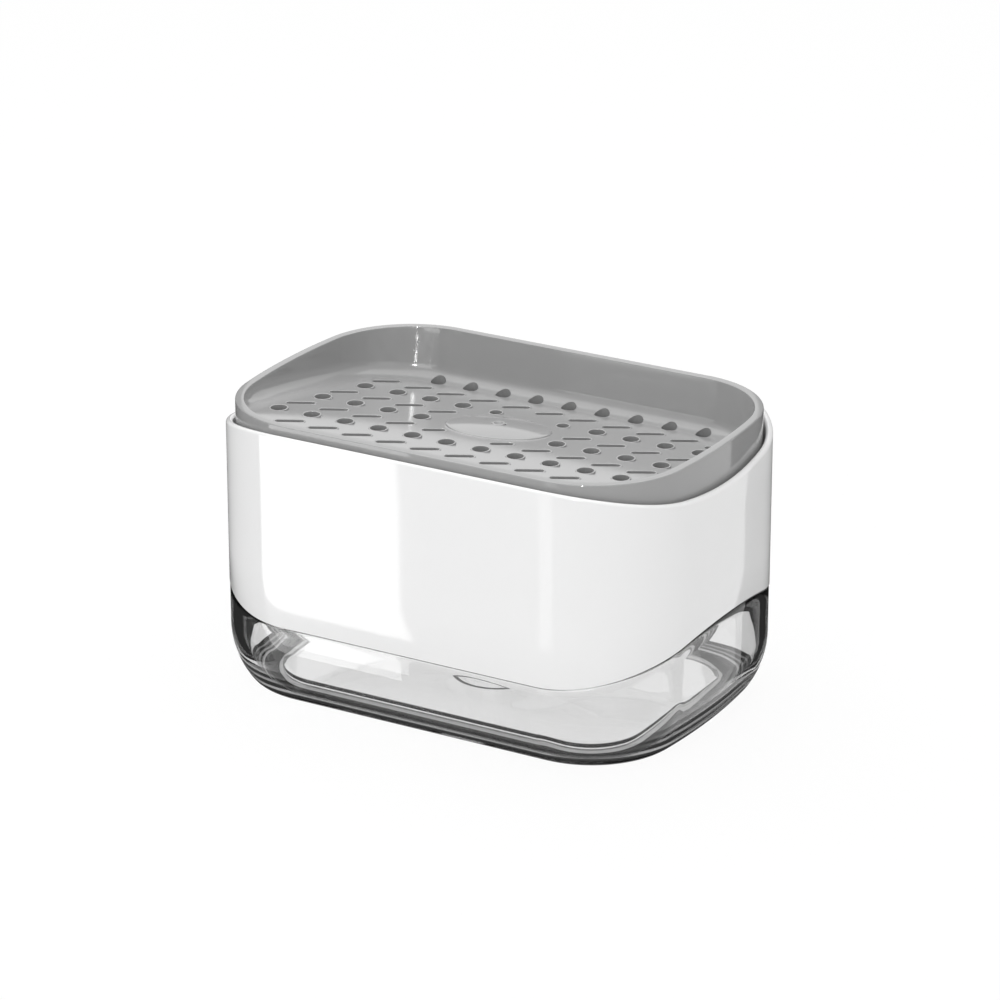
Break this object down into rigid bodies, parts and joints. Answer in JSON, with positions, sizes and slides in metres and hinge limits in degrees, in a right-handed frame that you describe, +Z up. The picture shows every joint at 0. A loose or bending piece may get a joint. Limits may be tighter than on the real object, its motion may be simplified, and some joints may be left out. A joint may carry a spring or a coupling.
{
  "type": "dish soap pump caddy",
  "caption": "Oblong soap dispenser with a clear tank, a white cover and a sloped grey drain tray that is pressed down to pump soap up through its middle.",
  "frame": {"origin": "middle of the foot of the tank, on the surface it stands on", "axes": "+X along the caddy, +Y to its back, where the tray is deepest, +Z up"},
  "size_m": [0.14, 0.097, 0.08],
  "materials": {
    "clear_plastic": "clear moulded polystyrene, polished",
    "white_gloss": "glossy white moulding",
    "grey_gloss": "glossy mid-grey moulding",
    "pump_plastic": "natural polypropylene",
    "tube_plastic": "milky polyethylene tube",
    "soft_seal": "soft silicone",
    "steel": "bright stainless steel"
  },
  "bodies": {
    "tank": {"tank": "clear_plastic"},
    "cover": {"cover": "white_gloss", "tank_seal": "soft_seal", "pump_cylinder": "pump_plastic", "neck_gasket": "soft_seal", "ring_nut": "pump_plastic", "stem_guide": "pump_plastic", "wiper_seal": "soft_seal", "inlet_cage": "pump_plastic", "dip_tube": "tube_plastic", "inlet_strainer": "pump_plastic", "return_spring": "steel"},
    "plunger": {"plunger_stem": "pump_plastic", "piston_core": "pump_plastic", "piston": "soft_seal", "outlet_cage": "pump_plastic"},
    "tray": {"tray": "grey_gloss", "nozzle_insert": "grey_gloss", "outlet_valve": "soft_seal"},
    "inlet_ball": {"inlet_ball": "steel"},
    "outlet_ball": {"outlet_ball": "steel"}
  },
  "joints": [
    {"name": "cover_lift", "type": "slide", "parent": "tank", "child": "cover", "axis": [0, 0, 1], "range_m": [0, 0.06]},
    {"name": "plunger_press", "type": "slide", "parent": "cover", "child": "plunger", "axis": [0, 0, -1], "range_m": [0, 0.008], "stiffness_N_per_m": 600, "springref_m": -0.004, "deforming": ["return_spring"]},
    {"name": "tray_lift", "type": "slide", "parent": "plunger", "child": "tray", "axis": [0, 0, 1], "range_m": [0, 0.03]},
    {"name": "inlet_ball_lift", "type": "slide", "parent": "cover", "child": "inlet_ball", "axis": [0, 0, 1], "range_m": [0, 0.0014]},
    {"name": "outlet_ball_lift", "type": "slide", "parent": "plunger", "child": "outlet_ball", "axis": [0, 0, 1], "range_m": [0, 0.0014]}
  ]
}
